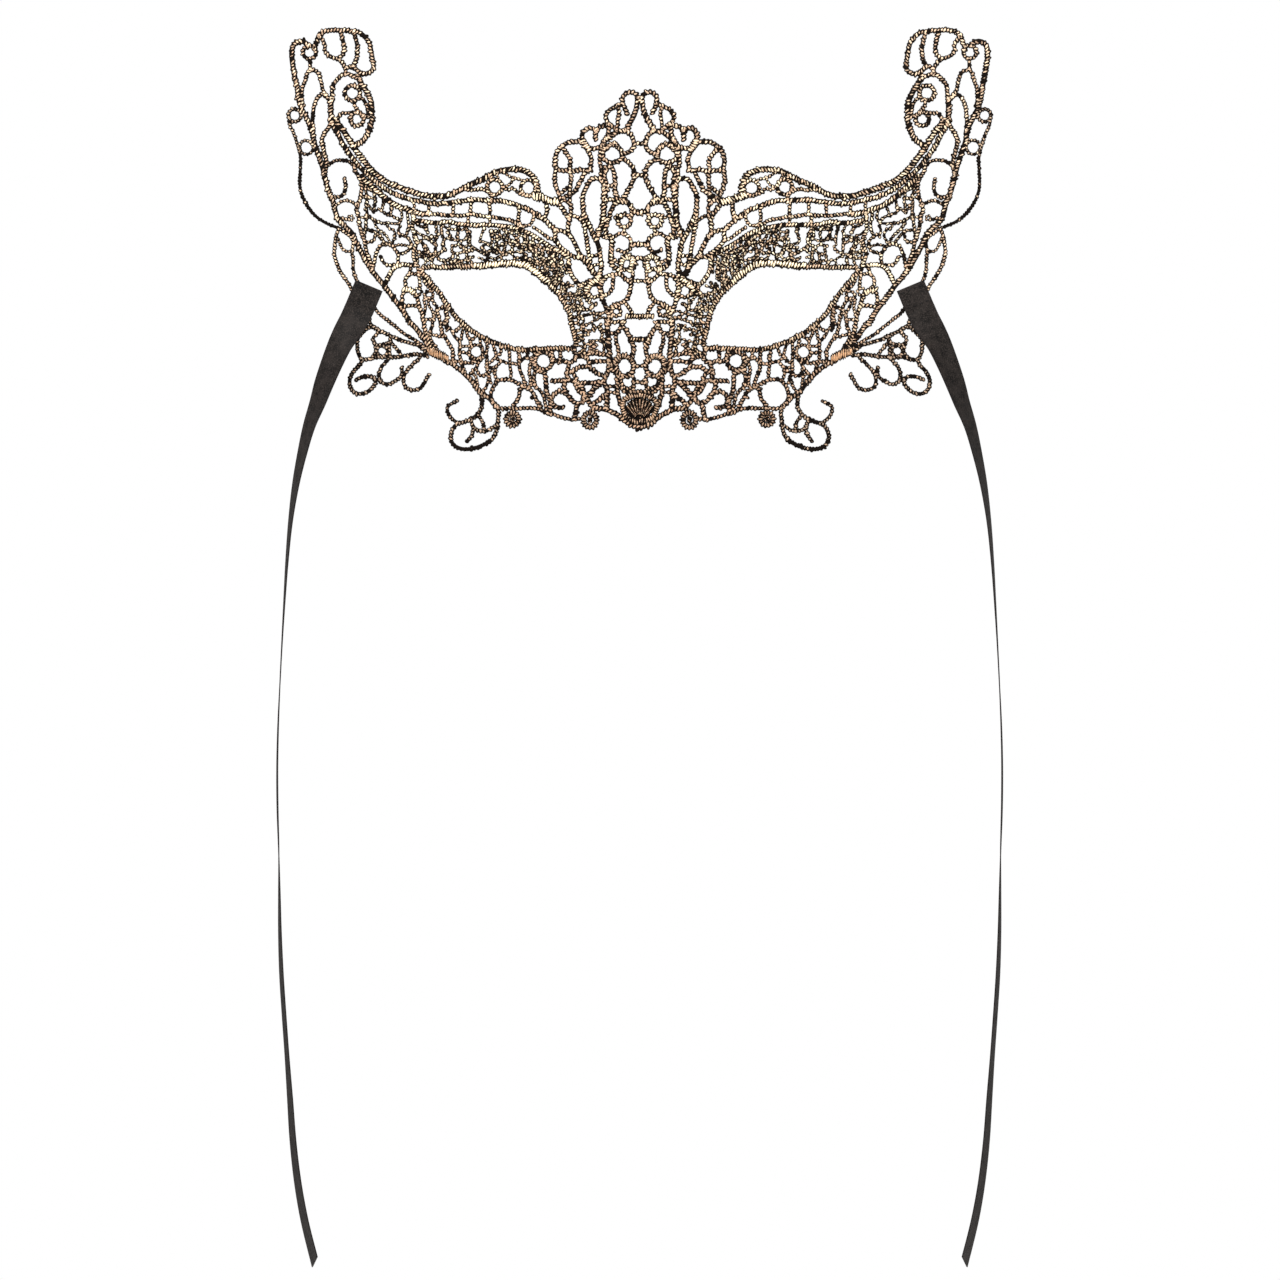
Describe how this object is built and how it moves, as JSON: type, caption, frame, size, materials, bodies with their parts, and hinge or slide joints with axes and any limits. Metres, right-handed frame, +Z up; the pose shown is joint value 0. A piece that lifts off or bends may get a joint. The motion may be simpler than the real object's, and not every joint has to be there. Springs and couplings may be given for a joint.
{
  "type": "venetian masquerade mask",
  "caption": "Embroidered gold and black lace eye mask with swept wings at the temples and a long satin ribbon tie sewn to each side.",
  "frame": {"origin": "centre of the back of the thick satin bar across the nose bridge, where the mask rests on the nose", "axes": "+X to the mask's right as seen from the front, +Y towards the wearer's face, +Z up through the crown; the lace lies flat in the XZ plane"},
  "size_m": [0.2462, 0.012, 0.4213],
  "materials": {
    "gold_cord": "gold foil over wrapped black thread cord",
    "pale_cord": "pale gold foil over wrapped thread cord",
    "bronze_cord": "bronze foil over wrapped black thread cord",
    "dark_cord": "black wrapped thread cord with worn foil",
    "net_cord": "fine black thread net with foil on its knots",
    "satin_block": "dense satin stitch with tan foil",
    "ribbon_satin": "black satin ribbon, woven edges",
    "sewing_thread": "black sewing thread"
  },
  "bodies": {
    "lace": {"centre_column": "gold_cord", "column_top": "gold_cord", "crown_crest": "pale_cord", "chin_lace": "bronze_cord", "nose_medallion": "bronze_cord", "wing_tip_left": "bronze_cord", "wing_tip_right": "bronze_cord", "wing_inner_left": "bronze_cord", "wing_inner_right": "bronze_cord", "temple_spine_left": "bronze_cord", "temple_spine_right": "bronze_cord", "temple_loop_left": "dark_cord", "temple_loop_right": "dark_cord", "temple_curls_left": "bronze_cord", "temple_curls_right": "bronze_cord", "temple_leaf_left": "bronze_cord", "temple_leaf_right": "bronze_cord", "temple_hook_left": "gold_cord", "temple_hook_right": "gold_cord", "wing_root_left": "net_cord", "wing_root_right": "net_cord", "brow_edge_left": "gold_cord", "brow_edge_right": "gold_cord", "brow_band_left": "gold_cord", "brow_band_right": "gold_cord", "brow_net_left": "net_cord", "brow_net_right": "net_cord", "eye_rim_left": "gold_cord", "eye_rim_right": "gold_cord", "inner_net_left": "net_cord", "inner_net_right": "net_cord", "cheek_net_left": "bronze_cord", "cheek_net_right": "bronze_cord", "cheek_edge_left": "bronze_cord", "cheek_edge_right": "bronze_cord", "nose_lace_left": "bronze_cord", "nose_lace_right": "bronze_cord", "crown_scrolls_left": "gold_cord", "crown_scrolls_right": "gold_cord", "forehead_leaves_left": "gold_cord", "forehead_leaves_right": "gold_cord", "cheek_fan_left": "dark_cord", "cheek_fan_right": "dark_cord", "fan_root_left": "satin_block", "fan_root_right": "satin_block", "lower_scroll_left": "dark_cord", "lower_scroll_right": "dark_cord", "berry_inner_left": "bronze_cord", "berry_inner_right": "bronze_cord", "berry_outer_left": "bronze_cord", "berry_outer_right": "bronze_cord", "ribbon_tab_left": "ribbon_satin", "ribbon_tab_right": "ribbon_satin", "tab_stitches_left": "sewing_thread", "tab_stitches_right": "sewing_thread"},
    "ribbon_left": {"ribbon_tail_left": "ribbon_satin"},
    "ribbon_right": {"ribbon_tail_right": "ribbon_satin"}
  },
  "joints": [
    {"name": "ribbon_fold_left", "type": "hinge", "parent": "lace", "child": "ribbon_left", "pos_m": [-0.09537, -0.0017, 0.00209], "axis": [-0.9225, 0, 0.3859], "range_deg": [0, 75]},
    {"name": "ribbon_fold_right", "type": "hinge", "parent": "lace", "child": "ribbon_right", "pos_m": [0.09537, -0.0017, 0.00209], "axis": [-0.9225, 0, -0.3859], "range_deg": [0, 75]}
  ]
}
